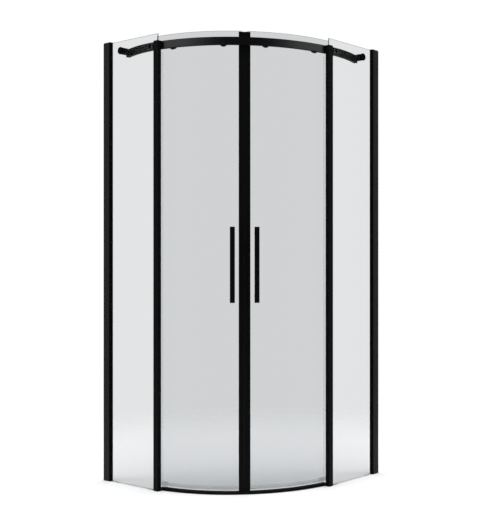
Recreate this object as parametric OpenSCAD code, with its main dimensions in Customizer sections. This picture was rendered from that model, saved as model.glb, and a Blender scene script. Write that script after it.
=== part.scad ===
// Corner shower enclosure: two flat fixed panes on the walls and two curved sliding doors.
// Millimetres. X runs along the left pane, Y along the right pane, Z is up.
// The room corner is at (-size / 2, size / 2). The right side is the left side mirrored.

/* [Enclosure] */
// Side length, from each wall to the outermost face of the other pane's metalwork
size = 900; // [860:5:940]
// Overall height with the profile caps
height = 2000; // [1850:5:2100]
// Distance from the start of the curve to the front edge of the post
post_past = 77; // [66:1:90]
// How far the profiles stand out from the fixed panes
proud = 7; // [6:0.5:8]
// Depth of the wall profiles and posts, across the pane
profile_depth = 20; // [19:0.5:22]

/* [Glass] */
// Thickness of the fixed panes
pane_t = 6; // [5:0.5:6.5]
// Thickness of the curved door glass
door_t = 6; // [5:0.5:8]
// Thickness of the pads that the fixed panes stand on
pad_t = 3; // [2:0.5:5]
// Length of each pad
pad_l = 30; // [20:5:50]
// Thickness of the glazing gasket beside the glass
gasket_t = 1.2; // [1:0.1:1.5]

/* [Wall profiles] */
// Width of the wall channel along the pane
channel_w = 39; // [34:1:42]
// Wall thickness of the channel and of the glass profile
channel_wall = 1.6; // [1.4:0.1:2]
// Distance from the wall to the front edge of the glass profile
profile_reach = 47; // [45:1:60]
// Depth of the glazing pocket in the glass profile
wall_pocket = 16; // [12:1:18]
// Gap between the wall and the back edge of the glass profile
profile_back = 8; // [6:0.5:10]
// Sliding clearance between the glass profile and the channel
slide_gap = 0.2; // [0.1:0.05:0.3]
// Thickness of the plastic caps on the wall profiles
cap_t = 4; // [3:0.5:6]
// Rounding of the cap's corner beside the wall
cap_round = 6; // [3:0.5:8]
// Diameter of the holes for the wall screws
wall_hole_d = 6; // [5:0.5:7]
// Distance between the wall screws
wall_hole_step = 800; // [700:10:850]
// Number of wall screws on each side
wall_hole_n = 3; // [2:1:3]
// Height of a clamping screw above its wall screw
clamp_lift = 50; // [30:5:90]
// Shank diameter of the clamping screws
clamp_d = 4; // [3.5:0.5:5]

/* [Posts] */
// Width of the post along the pane
post_w = 28; // [27:1:34]
// Wall thickness of the post
post_wall = 2; // [1.6:0.1:2.4]
// Depth of the glazing pocket in the post
post_pocket = 21; // [18:0.5:22]
// Thickness of the post cap
post_cap_t = 2; // [1.5:0.5:4]
// Thickness of the post's clear lip
lip_t = 1.6; // [1.2:0.1:2]
// Width of the lip's root in the post
lip_root_w = 4; // [3:0.5:5]
// Depth of the lip's root in the post
lip_root_d = 2.4; // [1.5:0.1:2.6]
// Gap between the lip and the door glass
lip_gap = 0.6; // [0.4:0.1:1]

/* [Top rail] */
// Height of the rail
rail_h = 33; // [31:1:38]
// Depth of the rail across the arc
rail_depth = 18; // [17:0.5:22]
// Wall thickness of the rail
rail_wall = 2.2; // [1.8:0.1:2.6]
// Height of the rail's retaining lips
rail_lip = 4; // [3:0.5:4.5]
// Distance from the top of the enclosure to the top of the rail
rail_drop = 35; // [30:1:44]
// Angle that the rail runs on past the tangent point, behind the fixed pane
rail_past = 19; // [18.8:0.1:20]
// Thickness of the rail's end caps
rail_cap_t = 2; // [1.5:0.5:3]
// Gap that keeps the rail clear of the post
seat_gap = 0.3; // [0.2:0.1:0.5]
// Angle from the tangent point to the face of the door stop
stop_angle = 14.3; // [14.2:0.05:14.6]
// Diameter of the screws that hold the rail to the post and bracket
rail_screw_d = 5; // [4:0.5:6]
// Height of a screw head inside the rail
screw_head_h = 1.6; // [1.4:0.1:1.8]
// Width of the bracket between the rail and the fixed pane
bracket_w = 34; // [24:1:38]
// Height of that bracket
bracket_h = 28; // [20:1:32]
// Diameter of the rubber pad between the bracket and the glass
bracket_pad_d = 18; // [12:1:20]

/* [Rail stand-offs] */
// Angle from the start of the curve back to the stand-off
standoff_angle = 18; // [17.8:0.05:18.2]
// Diameter of the stand-off tube
standoff_d = 31; // [24:1:34]
// Diameter of the outer cap on the glass
standoff_cap_d = 33; // [30:1:36]
// Distance of the stand-off's axis below the top of the rail
standoff_drop = 12; // [8:1:16]
// Wall thickness of the stand-off tube
standoff_wall = 4; // [3:0.5:6]
// Diameter of the stand-off bolt
standoff_bolt_d = 8; // [6:0.5:9]
// Thickness of the rubber washers on the glass
washer_t = 1; // [0.8:0.1:1.5]

/* [Threshold] */
// Height of the threshold
sill_h = 10; // [8:0.5:14]
// Width of the threshold across the arc
sill_w = 32; // [28:1:36]
// Width of the guide groove
groove_w = 6; // [5.4:0.2:8]
// Depth of the guide groove
groove_d = 7; // [5:0.5:7.5]
// Depth of the sloping front edge
sill_chamfer = 5; // [2:0.5:7]
// Thickness of the walls of the fixed door guide
guide_wall = 5; // [4:0.5:7]
// Height of the fixed door guide above the threshold
guide_h = 24; // [18:1:30]
// Gap between the drip seal and the fixed door guide
guide_gap = 0.8; // [0.5:0.1:1.2]

/* [Doors] */
// Gap between the rail and the door's roller bodies
rail_gap = 1.2; // [0.8:0.1:2]
// Gap between the threshold and the door glass
door_gap = 10; // [8:0.5:14]
// Angle between the tangent point and the door's rear edge
door_lap = 2.5; // [2:0.1:3]
// Width of the profile on each door's front edge
edge_w = 25; // [22:0.5:28]
// Depth of that profile across the glass
edge_depth = 15; // [14:0.5:16]
// Depth of its glazing pocket
edge_pocket = 14; // [10:1:16]
// Thickness of the magnetic strip
magnet_t = 3; // [2:0.5:4]
// Width of the magnetic strip across the profile
magnet_w = 9; // [7:0.5:11]
// Gap between the two magnetic strips when shut
shut_gap = 0.1; // [0.05:0.05:0.5]
// How far the edge profile ends below the glass
edge_top_gap = 4; // [2:1:8]
// Wall thickness of the clear seals
seal_t = 1.2; // [1:0.1:1.6]
// How far the clear seals grip the glass
seal_grip = 12; // [9:1:14]
// Gap between the drip seal and the threshold
drip_gap = 1; // [0.6:0.1:2]

/* [Rollers] */
// Diameter of the roller wheel
wheel_d = 18.6; // [17:0.2:19.4]
// Width of the roller wheel
wheel_w = 6; // [5:0.5:7]
// Gap between the wheel and its track at rest
wheel_play = 0.2; // [0.15:0.05:0.3]
// Diameter of the roller axle
axle_d = 6; // [5:0.5:7]
// Radial running clearance of the wheel on its axle
axle_clear = 0.05; // [0.03:0.01:0.08]
// How far the wheel's axis lies below the roller body's, for levelling the door
eccentric = 2; // [1:0.5:3]
// Diameter of the roller body outside the glass
roller_d = 38; // [34:1:40]
// Thickness of the roller body
roller_body_t = 6; // [5:0.5:7]
// Diameter of the roller's inner cap
roller_cap_d = 30; // [26:1:30]
// Diameter of the roller's boss through the glass
roller_boss_d = 13.6; // [12:0.2:14]
// Thickness of the roller's inner cap
roller_cap_t = 7; // [5:0.5:9]
// Angle from the middle of the front to the front roller
roller_front = 9.2; // [9:0.1:10.5]
// Angle from the middle of the front to the rear roller
roller_rear = 33.2; // [32:0.1:33.5]

/* [Handles] */
// Length of the handle bar
bar_h = 326; // [290:2:380]
// Width of the handle bar
bar_w = 21; // [18:0.5:24]
// Thickness of the handle bar
bar_t = 10; // [8:0.5:12]
// Corner rounding of the handle bar
bar_round = 2.5; // [1:0.5:4]
// Height of the middle of the handle
bar_z = 987; // [900:1:1100]
// Distance from the middle of the front to the handle's centre line
bar_off = 52.5; // [46:0.5:60]
// Clear finger gap behind the bar
finger_gap = 34; // [28:1:42]
// Distance between the two handle posts
grip_span = 270; // [220:5:280]
// Diameter of the handle posts
grip_d = 14; // [12:1:18]
// Diameter of the handle bolts
grip_bolt_d = 6; // [5:0.5:6]
// Diameter of the inner buttons
button_d = 13; // [12:1:20]
// Thickness of the inner buttons
button_t = 6; // [4:0.5:8]

/* [Hidden] */

fine = 240;
round_fn = 48;
// A cut runs this far past the face that it opens
cut = 1;
// Small gap between round parts and the holes that they pass through
hole_gap = 0.2;
// The wheels' track lies this far outside the middle of the rail's opening
track_off = 0.4;
// Gap between a clear seal and the glass that it grips
grip_gap = 0.15;
// Radial gap that lets a flat part clear the curved glass behind it
bow_gap = 0.3;
// The holes in the glass are this much wider than the bolts in them
hole_room = 4;
// The clamping screws sit at this share of the channel's width
clamp_share = 0.6;
// The post's lip sits this far from the post's middle, and clear of the guide and the roller
lip_shift = 3;
lip_low_gap = 2;
lip_high_gap = 4;
// The bracket's middle lies this far past the tangent point
bracket_off = 10;
// Head of the rail screws, its gap to the rail, and how far a shank reaches into the post
rail_head_d = 1.8 * rail_screw_d;
head_gap = 0.05;
screw_bite = 1;
// Solid face of the stand-off cap that closes the bolt's hole
cap_face_t = 1.6;
// The rubber washer under the stand-off's cap shows this little of the cap's rim
washer_rim = 1;
washer_d = standoff_cap_d - 2 * washer_rim;
// The threshold's outer edge lies this far inside the rail's
sill_back = 4;
// Web between the glass and the magnet in the edge profile, and its lift above the drip seal
edge_wall = 2;
edge_lift = 1;
// Gap between the glass and the bottom of its pocket in the edge profile
glass_seat = 1;
// Angles that part the drip seal from the rear seal and that its cut runs past its ends
seal_step = 0.2;
seal_past = 1;
// Solid face of the handle bar, and how far its bolts end below it
bar_face_t = 2;
bolt_short = 3;
// The axle and the boss start this far inside the roller body
axle_seat = 1.5;
boss_seat = 1;
// The axle's head and its hub stand this far proud of the axle, all round
axle_head_rim = 1.5;
hub_rim = 2;
// Width of the wheel's rim, depth of the groove in its face, and that groove's gap to the hub
rim_w = 2;
wheel_groove = 0.8;
hub_gap = 1;
// Side gap and floor gap of the shoe's tongue in the threshold's groove
tongue_side = 1;
tongue_lift = 1.5;
// The shoe's tongue stops this far from the ends of the edge profile
tongue_rear = 3;
tongue_front = 5;

half = size / 2;
// The corner arc, to the outer face of the fixed panes, takes two thirds of the side
radius_share = 2 / 3;
corner_radius = size * radius_share;
post_reach = size - proud - corner_radius + post_past;
arc_x = half - proud - corner_radius;
arc_y = -arc_x;
seam = -45;
tangent = -90;

glass_top = height - cap_t;
pane_in = proud + pane_t;
pocket_w = pane_t + 2 * gasket_t;
pocket_at = proud - gasket_t;

post_back = post_reach - post_w;
post_glass_end = post_back + post_pocket - gasket_t;
wall_glass_end = profile_reach - wall_pocket + gasket_t;
post_top = height - rail_drop;
clamp_at = channel_w * clamp_share;

// The rail just clears the rear inner corner of each post
reach_y = arc_y + half - profile_depth;
reach_x = -half + post_back - arc_x;
rail_r = sqrt(reach_y * reach_y + reach_x * reach_x) - seat_gap;
rail_in = rail_r - rail_depth;
rail_top = height - rail_drop;
rail_bottom = rail_top - rail_h;

wheel_r = wheel_d / 2;
wheel_z = rail_bottom + rail_wall + wheel_play + wheel_r;
roller_z = wheel_z + eccentric;
door_out = rail_in - rail_gap - roller_body_t;
door_in = door_out - door_t;
door_mid = (door_out + door_in) / 2;
wheel_mid = rail_in + (rail_depth - rail_wall) / 2 + track_off;
wheel_0 = wheel_mid - wheel_w / 2;
axle_head_t = 1;
axle_head_d = axle_d + 2 * axle_head_rim;
hub_d = axle_d + 2 * hub_rim;

door_bottom = sill_h + door_gap;
door_top = glass_top;
drip_bottom = sill_h + drip_gap;
edge_bottom = drip_bottom + edge_lift;
edge_top = door_top - edge_top_gap;
edge_back = shut_gap / 2 + magnet_t;
edge_rear = door_mid - edge_depth / 2;
edge_tail = edge_back + edge_w - magnet_t;
glass_front = edge_tail - edge_pocket + glass_seat;
front_angle = seam - asin(glass_front / door_mid);
rear_angle = tangent + door_lap;
front_roller = seam - roller_front;
rear_roller = seam - roller_rear;
bar_angle = seam - asin(bar_off / (door_out + finger_gap + bar_t / 2));
bar_in = door_out + finger_gap;

post_mid = post_back + post_w / 2 - half;
lip_at = post_mid + half - lip_root_w / 2 - lip_shift;
lip_bottom = sill_h + guide_h + lip_low_gap;
lip_top = roller_z - roller_d / 2 - lip_high_gap;
sill_out = rail_r - sill_back;
sill_in = sill_out - sill_w;
groove_mid = door_mid;
sill_end = tangent + asin((-half + post_back - arc_x) / door_mid);

standoff_x = arc_x - (rail_r - rail_depth / 2) * sin(standoff_angle);
bracket_x = arc_x + bracket_off;
rail_mid_z = rail_bottom + rail_h / 2;
standoff_z = rail_top - standoff_drop;
// The stand-off's bores run this far past the fixed pane
standoff_run = 4 * rail_depth;
wall_hole_z0 = (height - (wall_hole_n - 1) * wall_hole_step) / 2;
wall_hole_zs = [for (i = [0 : wall_hole_n - 1]) wall_hole_z0 + i * wall_hole_step];

// The arc's own axis
module on_arc() {
  translate([arc_x, arc_y, 0]) children();
}

// The right side is the left side mirrored through the room corner
module right_side() {
  mirror([1, 1, 0]) children();
}

module both_sides() {
  children();
  right_side() children();
}

// An upright block at the left pane: s along the pane from the wall, d inwards from outside
module slab(s0, s1, d0, d1, z0, z1) {
  translate([s0 - half, d0 - half, z0]) cube([s1 - s0, d1 - d0, z1 - z0]);
}

// A curved bar of rectangular section between two radii, two angles and two heights
module ring(r0, r1, a0, a1, z0, z1) {
  on_arc() rotate(a0) rotate_extrude(angle = a1 - a0, $fn = fine)
    translate([r0, z0]) square([r1 - r0, z1 - z0]);
}

// A round bar that points outwards from the arc's axis
module radial(a, z, d, r0, r1) {
  on_arc() rotate(a) translate([r0, 0, z]) rotate([0, 90, 0])
    cylinder(d = d, h = r1 - r0, $fn = round_fn);
}

// A round bar across the left pane, between two distances from the outermost face
module cross(x, z, d, d0, d1) {
  translate([x, d0 - half, z]) rotate([-90, 0, 0])
    cylinder(d = d, h = d1 - d0, $fn = round_fn);
}

// Each roller of the left door
module at_rollers() {
  for (a = [front_roller, rear_roller]) on_arc() rotate(a) children();
}

// Each handle post of the left door
module at_grips() {
  for (z = [bar_z - grip_span / 2, bar_z + grip_span / 2])
    on_arc() rotate(bar_angle) translate([0, 0, z]) children();
}

module wall_channel() {
  color("#1c1c1c") difference() {
    slab(0, channel_w, 0, profile_depth, 0, glass_top);
    slab(channel_wall, channel_w + cut, channel_wall, profile_depth - channel_wall,
      -cut, glass_top + cut);
    for (z = wall_hole_zs) {
      translate([-half - cut, proud + pane_t / 2 - half, z]) rotate([0, 90, 0])
        cylinder(d = wall_hole_d, h = channel_wall + 2 * cut, $fn = round_fn);
      cross(-half + clamp_at, z + clamp_lift, clamp_d + hole_gap,
        profile_depth - channel_wall - cut, profile_depth + cut);
    }
  }
}

// Slides in the wall channel to take up a wall that is out of plumb
module glass_profile() {
  side = channel_wall + slide_gap;
  web = profile_reach - wall_pocket;
  color("#101010") difference() {
    slab(profile_back, profile_reach, side, profile_depth - side, 0, glass_top);
    slab(web, profile_reach + cut, pocket_at, pocket_at + pocket_w, -cut, glass_top + cut);
    slab(profile_back - cut, web - channel_wall, side + channel_wall,
      profile_depth - side - channel_wall, -cut, glass_top + cut);
    for (z = wall_hole_zs)
      cross(-half + clamp_at, z + clamp_lift, clamp_d + hole_gap,
        profile_depth - side - channel_wall - cut, profile_depth);
  }
}

// A channel of rubber round the edge of the glass: one in the wall profile, one in the post
module glazing_gasket() {
  web = profile_reach - wall_pocket;
  post_web = post_back + post_pocket;
  color("#0b0b0b") {
    difference() {
      slab(web, profile_reach, pocket_at, pocket_at + pocket_w, 0, glass_top);
      slab(web + gasket_t, profile_reach + cut, proud, pane_in, -cut, glass_top + cut);
    }
    difference() {
      slab(post_back, post_web, pocket_at, pocket_at + pocket_w, 0, post_top);
      slab(post_back - cut, post_web - gasket_t, proud, pane_in, -cut, post_top + cut);
    }
  }
}

module profile_cap() {
  color("#141414") translate([-half, -half, glass_top]) {
    difference() {
      cube([profile_reach, profile_depth, cap_t]);
      translate([-cut, -cut, cap_t - cap_round])
        cube([cap_round + cut, profile_depth + 2 * cut, cap_round + cut]);
    }
    intersection() {
      cube([cap_round, profile_depth, cap_t]);
      translate([cap_round, 0, cap_t - cap_round]) rotate([-90, 0, 0])
        cylinder(r = cap_round, h = profile_depth, $fn = round_fn);
    }
  }
}

// Clamps the glass profile in the channel, from inside the enclosure
module clamp_screw_set() {
  side = channel_wall + slide_gap;
  color("#2a2a2a") for (z = wall_hole_zs) {
    cross(-half + clamp_at, z + clamp_lift, clamp_d,
      profile_depth - side - channel_wall - cut, profile_depth);
    cross(-half + clamp_at, z + clamp_lift, 2 * clamp_d, profile_depth,
      profile_depth + screw_head_h);
  }
}

module fixed_glass() {
  color("#dfe8e6", 0.35) difference() {
    slab(wall_glass_end, post_glass_end, proud, pane_in, pad_t, glass_top);
    cross(standoff_x, standoff_z, standoff_bolt_d + hole_room, proud - cut, pane_in + cut);
  }
}

// Clear pads under the fixed pane, one near each end
module setting_pad_pair() {
  color("#d8d8d8", 0.6) for (s = [profile_reach + pad_l / 2, post_back - pad_l - pad_l / 2])
    slab(s, s + pad_l, proud, pane_in, 0, pad_t);
}

module post() {
  color("#1e1e1e") difference() {
    slab(post_back, post_reach, 0, profile_depth, 0, post_top - post_cap_t);
    slab(post_back - cut, post_back + post_pocket, pocket_at, pocket_at + pocket_w,
      -cut, post_top);
    slab(post_back + post_pocket + post_wall, post_reach - post_wall, post_wall,
      profile_depth - post_wall, -cut, post_top);
    slab(lip_at, lip_at + lip_root_w, profile_depth - lip_root_d, profile_depth + cut,
      -cut, lip_top);
    cross(post_mid, rail_mid_z, rail_screw_d + hole_gap,
      profile_depth - post_wall - lip_root_d, profile_depth + cut);
  }
}

module post_cap() {
  color("#141414") difference() {
    slab(post_back, post_reach, 0, profile_depth, post_top - post_cap_t, post_top);
    slab(post_back - cut, post_back + post_pocket, pocket_at, pocket_at + pocket_w,
      post_top - post_cap_t - cut, post_top + cut);
  }
}

// Clear lip in a groove of the post; it closes the gap to the sliding glass
module post_lip() {
  mid = lip_at + lip_root_w / 2;
  off = mid - half - arc_x;
  tip = arc_y + half - sqrt((door_out + lip_gap) * (door_out + lip_gap) - off * off);
  color("#d8d8d8", 0.6) {
    slab(lip_at, lip_at + lip_root_w, profile_depth - lip_root_d, profile_depth,
      lip_bottom, lip_top);
    slab(mid - lip_t / 2, mid + lip_t / 2, profile_depth, tip, lip_bottom, lip_top);
  }
}

// A curved C section, open towards the doors, with lips that hold the wheels in
module rail_section() {
  difference() {
    translate([rail_in, rail_bottom]) square([rail_depth, rail_h]);
    translate([rail_in + rail_wall, rail_bottom + rail_wall])
      square([rail_depth - 2 * rail_wall, rail_h - 2 * rail_wall]);
    translate([rail_in - cut, rail_bottom + rail_wall + rail_lip])
      square([rail_wall + 2 * cut, rail_h - 2 * (rail_wall + rail_lip)]);
  }
}

module top_rail() {
  color("#1a1a1a") difference() {
    on_arc() rotate(tangent - rail_past)
      rotate_extrude(angle = 2 * (seam - tangent + rail_past), $fn = fine) rail_section();
    both_sides() rail_holes();
  }
}

module rail_holes() {
  near = profile_depth - 2 * rail_wall;
  for (x = [post_mid, bracket_x])
    cross(x, rail_mid_z, rail_screw_d + hole_gap, near, near + 5 * rail_wall);
  cross(standoff_x, standoff_z, standoff_bolt_d + hole_gap, pane_in + rail_depth,
    pane_in + standoff_run);
}

module rail_end_cap() {
  a = rail_cap_t / rail_r * 180 / PI;
  color("#141414") on_arc() rotate(tangent - rail_past - a)
    rotate_extrude(angle = a, $fn = fine * 4) translate([rail_in, rail_bottom])
      square([rail_depth, rail_h]);
}

// Buffer that fills the end of the rail and stops the rear roller
module door_stop() {
  color("#0e0e0e") difference() {
    ring(rail_in + rail_wall, rail_r - rail_wall, tangent - rail_past, tangent - stop_angle,
      rail_bottom + rail_wall, rail_top - rail_wall);
    cross(standoff_x, standoff_z, standoff_bolt_d + hole_gap, pane_in, pane_in + standoff_run);
  }
}

// Flat spacer between the rail and the fixed pane, beside the post
module rail_bracket() {
  s = bracket_x + half;
  near = arc_y + half - rail_r;
  color("#4a4a48") difference() {
    slab(s - bracket_w / 2, s + bracket_w / 2, pane_in + washer_t, near,
      rail_mid_z - bracket_h / 2, rail_mid_z + bracket_h / 2);
    cross(bracket_x, rail_mid_z, rail_screw_d + hole_gap, pane_in, near + cut);
  }
}

// Round rubber pad that keeps the bracket off the glass
module bracket_pad() {
  color("#0b0b0b")
    cross(bracket_x, rail_mid_z, bracket_pad_d, pane_in, pane_in + washer_t);
}

// Screws with flat heads inside the rail: one into the post and one into the bracket
module rail_screw_pair() {
  off = [post_mid, bracket_x];
  start = [profile_depth - post_wall - screw_bite, pane_in + washer_t + bow_gap];
  color("#2a2a2a") for (i = [0, 1]) {
    rim = off[i] - arc_x + rail_head_d / 2;
    seat = arc_y + half - sqrt(pow(rail_r - rail_wall, 2) - rim * rim);
    top = seat + head_gap + screw_head_h;
    cross(off[i], rail_mid_z, rail_screw_d, start[i], top);
    cross(off[i], rail_mid_z, rail_head_d, top - screw_head_h, top);
  }
}

// Tube from the fixed pane to the end of the rail, coped to the rail's curve
module standoff_tube() {
  color("#161616") difference() {
    cross(standoff_x, standoff_z, standoff_d, pane_in + washer_t,
      pane_in + standoff_run - rail_wall);
    cross(standoff_x, standoff_z, standoff_d - 2 * standoff_wall, pane_in,
      pane_in + standoff_run);
    on_arc() translate([0, 0, rail_bottom - rail_h])
      cylinder(r = rail_r, h = 3 * rail_h, $fn = fine);
  }
}

module standoff_cap() {
  color("#161616") difference() {
    cross(standoff_x, standoff_z, standoff_cap_d, 0, proud - washer_t);
    cross(standoff_x, standoff_z, standoff_bolt_d + hole_gap, cap_face_t, proud);
  }
}

module standoff_bolt() {
  off = standoff_x - arc_x;
  reach = arc_y + half - sqrt(pow(rail_r - rail_depth / 2 - rail_wall, 2) - off * off);
  color("#2a2a2a") cross(standoff_x, standoff_z, standoff_bolt_d, cap_face_t, reach);
}

// Rubber washers on both faces of the fixed pane
module standoff_washer_pair() {
  color("#0b0b0b") difference() {
    union() {
      cross(standoff_x, standoff_z, washer_d, proud - washer_t, proud);
      cross(standoff_x, standoff_z, standoff_d, pane_in, pane_in + washer_t);
    }
    cross(standoff_x, standoff_z, standoff_bolt_d + hole_gap, 0, pane_in + 2 * washer_t);
  }
}

// Low curved sill between the posts, with a groove that guides the doors' shoes
module threshold() {
  span = 2 * (seam - sill_end);
  color("#151515") on_arc() rotate(sill_end) rotate_extrude(angle = span, $fn = fine)
    difference() {
      polygon([[sill_in, 0], [sill_out, 0], [sill_out, sill_h - sill_chamfer],
        [sill_out - sill_chamfer, sill_h], [sill_in, sill_h]]);
      translate([groove_mid - groove_w / 2, sill_h - groove_d])
        square([groove_w, groove_d + cut]);
    }
}

// Moulded block that joins the end of the threshold to the post
module threshold_end_block() {
  color("#101010") difference() {
    slab(post_back, post_reach, profile_depth, arc_y + half - sill_in, 0, sill_h);
    on_arc() translate([0, 0, -cut]) cylinder(r = sill_out, h = sill_h + 2 * cut, $fn = fine);
  }
}

// Fixed guide on the end of the threshold: the foot of the door runs between its walls
module door_guide() {
  a1 = tangent + asin((post_reach - half - arc_x) / door_mid);
  gap = door_t / 2 + seal_t + guide_gap;
  color("#d8d8d8", 0.6) {
    ring(door_mid - gap - guide_wall, door_mid - gap, sill_end, a1, sill_h, sill_h + guide_h);
    ring(door_mid + gap, door_mid + gap + guide_wall, sill_end, a1, sill_h, sill_h + guide_h);
  }
}

// Curved toughened glass, drilled for the rollers and the handle
module door_glass() {
  color("#dfe8e6", 0.3) difference() {
    ring(door_in, door_out, rear_angle, front_angle, door_bottom, door_top);
    at_rollers() translate([door_in - cut, 0, roller_z]) rotate([0, 90, 0])
      cylinder(d = roller_boss_d + 2 * hole_gap, h = door_t + 2 * cut, $fn = round_fn);
    at_grips() translate([door_in - cut, 0, 0]) rotate([0, 90, 0])
      cylinder(d = grip_bolt_d + hole_room, h = door_t + 2 * cut, $fn = round_fn);
  }
}

module edge_profile() {
  fit = door_t + 2 * gasket_t;
  color("#151515") on_arc() rotate(seam) translate([0, 0, edge_bottom]) difference() {
    translate([edge_rear, -edge_tail, 0])
      cube([edge_depth, edge_tail - edge_back, edge_top - edge_bottom]);
    translate([door_mid - fit / 2 - bow_gap, -edge_tail - cut, -cut])
      cube([fit, edge_pocket + cut, edge_top]);
    translate([door_mid - magnet_w / 2, -edge_back - edge_wall, -cut])
      cube([magnet_w, edge_wall + cut, edge_top]);
  }
}

module magnet_strip() {
  color("#0a0a0a") on_arc() rotate(seam)
    translate([door_mid - magnet_w / 2, -edge_back - edge_wall, edge_bottom])
      cube([magnet_w, magnet_t + edge_wall, edge_top - edge_bottom]);
}

// Clear clip on the rear edge of the door, with a fin that meets the post's lip
module rear_seal() {
  a = seal_grip / door_mid * 180 / PI;
  b = seal_t / door_mid * 180 / PI;
  g = grip_gap / door_mid * 180 / PI;
  color("#d8d8d8", 0.6) difference() {
    union() {
      ring(door_in - seal_t, door_out + seal_t, rear_angle - b - g, rear_angle + a,
        door_bottom, lip_top);
      ring(door_out + seal_t / 2, door_out + seal_grip, rear_angle - b - g, rear_angle - g,
        door_bottom, lip_top);
    }
    ring(door_in - grip_gap, door_out + grip_gap, rear_angle - g, rear_angle + 2 * a,
      door_bottom - cut, lip_top + cut);
  }
}

// Clear clip under the door, with a fin that throws water back inside
module drip_seal() {
  a = seal_grip / door_mid * 180 / PI;
  z0 = door_bottom - 2 * seal_t;
  a0 = rear_angle + a + seal_step;
  a1 = seam - asin((edge_back + edge_w) / door_mid);
  color("#d8d8d8", 0.6) difference() {
    union() {
      ring(door_in - seal_t, door_out + seal_t, a0, a1, z0, door_bottom + seal_grip);
      ring(door_in - seal_t, door_in + seal_t, a0, a1, drip_bottom, z0);
    }
    ring(door_in - grip_gap, door_out + grip_gap, a0 - seal_past, a1 + seal_past,
      door_bottom - grip_gap, door_bottom + 2 * seal_grip);
  }
}

// Flat bar with rounded corners
module handle_bar() {
  inner_w = bar_w - 2 * bar_round;
  inner_t = bar_t - 2 * bar_round;
  color("#151515") on_arc() rotate(bar_angle) translate([bar_in, 0, bar_z - bar_h / 2])
    difference() {
      linear_extrude(bar_h) union() {
        translate([bar_round, -bar_w / 2]) square([inner_t, bar_w]);
        translate([0, -inner_w / 2]) square([bar_t, inner_w]);
        for (x = [bar_round, bar_t - bar_round], y = [-inner_w / 2, inner_w / 2])
          translate([x, y]) circle(r = bar_round, $fn = round_fn);
      }
      for (z = [(bar_h - grip_span) / 2, (bar_h + grip_span) / 2])
        translate([-cut, 0, z]) rotate([0, 90, 0])
          cylinder(d = grip_bolt_d + hole_gap, h = bar_t - bar_face_t + cut, $fn = round_fn);
    }
}

module handle_posts() {
  color("#151515") at_grips() translate([door_out, 0, 0]) rotate([0, 90, 0]) difference() {
    cylinder(d = grip_d, h = finger_gap, $fn = round_fn);
    translate([0, 0, -cut])
      cylinder(d = grip_bolt_d + hole_gap, h = finger_gap + 2 * cut, $fn = round_fn);
  }
}

// Bolts from inside the enclosure, each with a round button for a head
module handle_bolts() {
  color("#151515") at_grips() translate([door_in - bow_gap - button_t, 0, 0])
    rotate([0, 90, 0]) {
      cylinder(d = button_d, h = button_t, $fn = round_fn);
      cylinder(d = grip_bolt_d, $fn = round_fn,
        h = button_t + bow_gap + door_t + finger_gap + bar_t - bolt_short);
    }
}

// Eccentric body: a disc outside the glass and a boss through it
module roller_bodies() {
  color("#101010") at_rollers() difference() {
    union() {
      translate([door_out, 0, roller_z]) rotate([0, 90, 0])
        cylinder(d = roller_d, h = roller_body_t, $fn = round_fn);
      translate([door_in - bow_gap, 0, roller_z]) rotate([0, 90, 0])
        cylinder(d = roller_boss_d, h = door_t + bow_gap + boss_seat, $fn = round_fn);
    }
    translate([door_out + axle_seat, 0, wheel_z]) rotate([0, 90, 0])
      cylinder(d = axle_d + hole_gap, h = roller_body_t, $fn = round_fn);
  }
}

// Inner cap that clamps the roller body to the glass
module roller_caps() {
  color("#101010") at_rollers() translate([door_in - bow_gap - roller_cap_t, 0, roller_z])
    rotate([0, 90, 0]) cylinder(d = roller_cap_d, h = roller_cap_t, $fn = round_fn);
}

// Steel axle with a collar on each side of the wheel
module roller_axles() {
  start = door_out + axle_seat;
  head = wheel_0 + wheel_w + seat_gap;
  color("#9a9a9a") at_rollers() translate([0, 0, wheel_z]) rotate([0, 90, 0]) {
    translate([0, 0, start])
      cylinder(d = axle_d, h = head + axle_head_t - start, $fn = round_fn);
    translate([0, 0, head]) cylinder(d = axle_head_d, h = axle_head_t, $fn = round_fn);
    translate([0, 0, door_out + roller_body_t])
      cylinder(d = hub_d, h = wheel_0 - seat_gap - door_out - roller_body_t, $fn = round_fn);
  }
}

module roller_wheel(a) {
  color("#d9d9d4") on_arc() rotate(a) translate([wheel_0, 0, wheel_z]) rotate([0, 90, 0])
    difference() {
      cylinder(d = wheel_d, h = wheel_w, $fn = 2 * round_fn);
      translate([0, 0, -cut])
        cylinder(r = axle_d / 2 + axle_clear, h = wheel_w + 2 * cut, $fn = round_fn);
      for (x = [-cut, wheel_w - wheel_groove]) translate([0, 0, x]) difference() {
        cylinder(d = wheel_d - 2 * rim_w, h = wheel_groove + cut, $fn = round_fn);
        translate([0, 0, -cut])
          cylinder(d = hub_d + hub_gap, h = wheel_groove + 3 * cut, $fn = round_fn);
      }
    }
}

// Plastic shoe in the foot of the edge profile; its tongue runs in the threshold's groove
module guide_shoe() {
  tongue = groove_w - 2 * tongue_side;
  lower = sill_h - groove_d + tongue_lift;
  color("#101010") on_arc() rotate(seam) {
    translate([door_mid - tongue / 2, -edge_tail + tongue_rear, lower])
      cube([tongue, edge_tail - edge_back - tongue_rear - tongue_front, edge_bottom - lower]);
    translate([door_mid - door_t / 2, -edge_tail + glass_seat, edge_bottom])
      cube([door_t - bow_gap, edge_pocket - 3 * glass_seat, door_bottom - edge_bottom]);
  }
}

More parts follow.
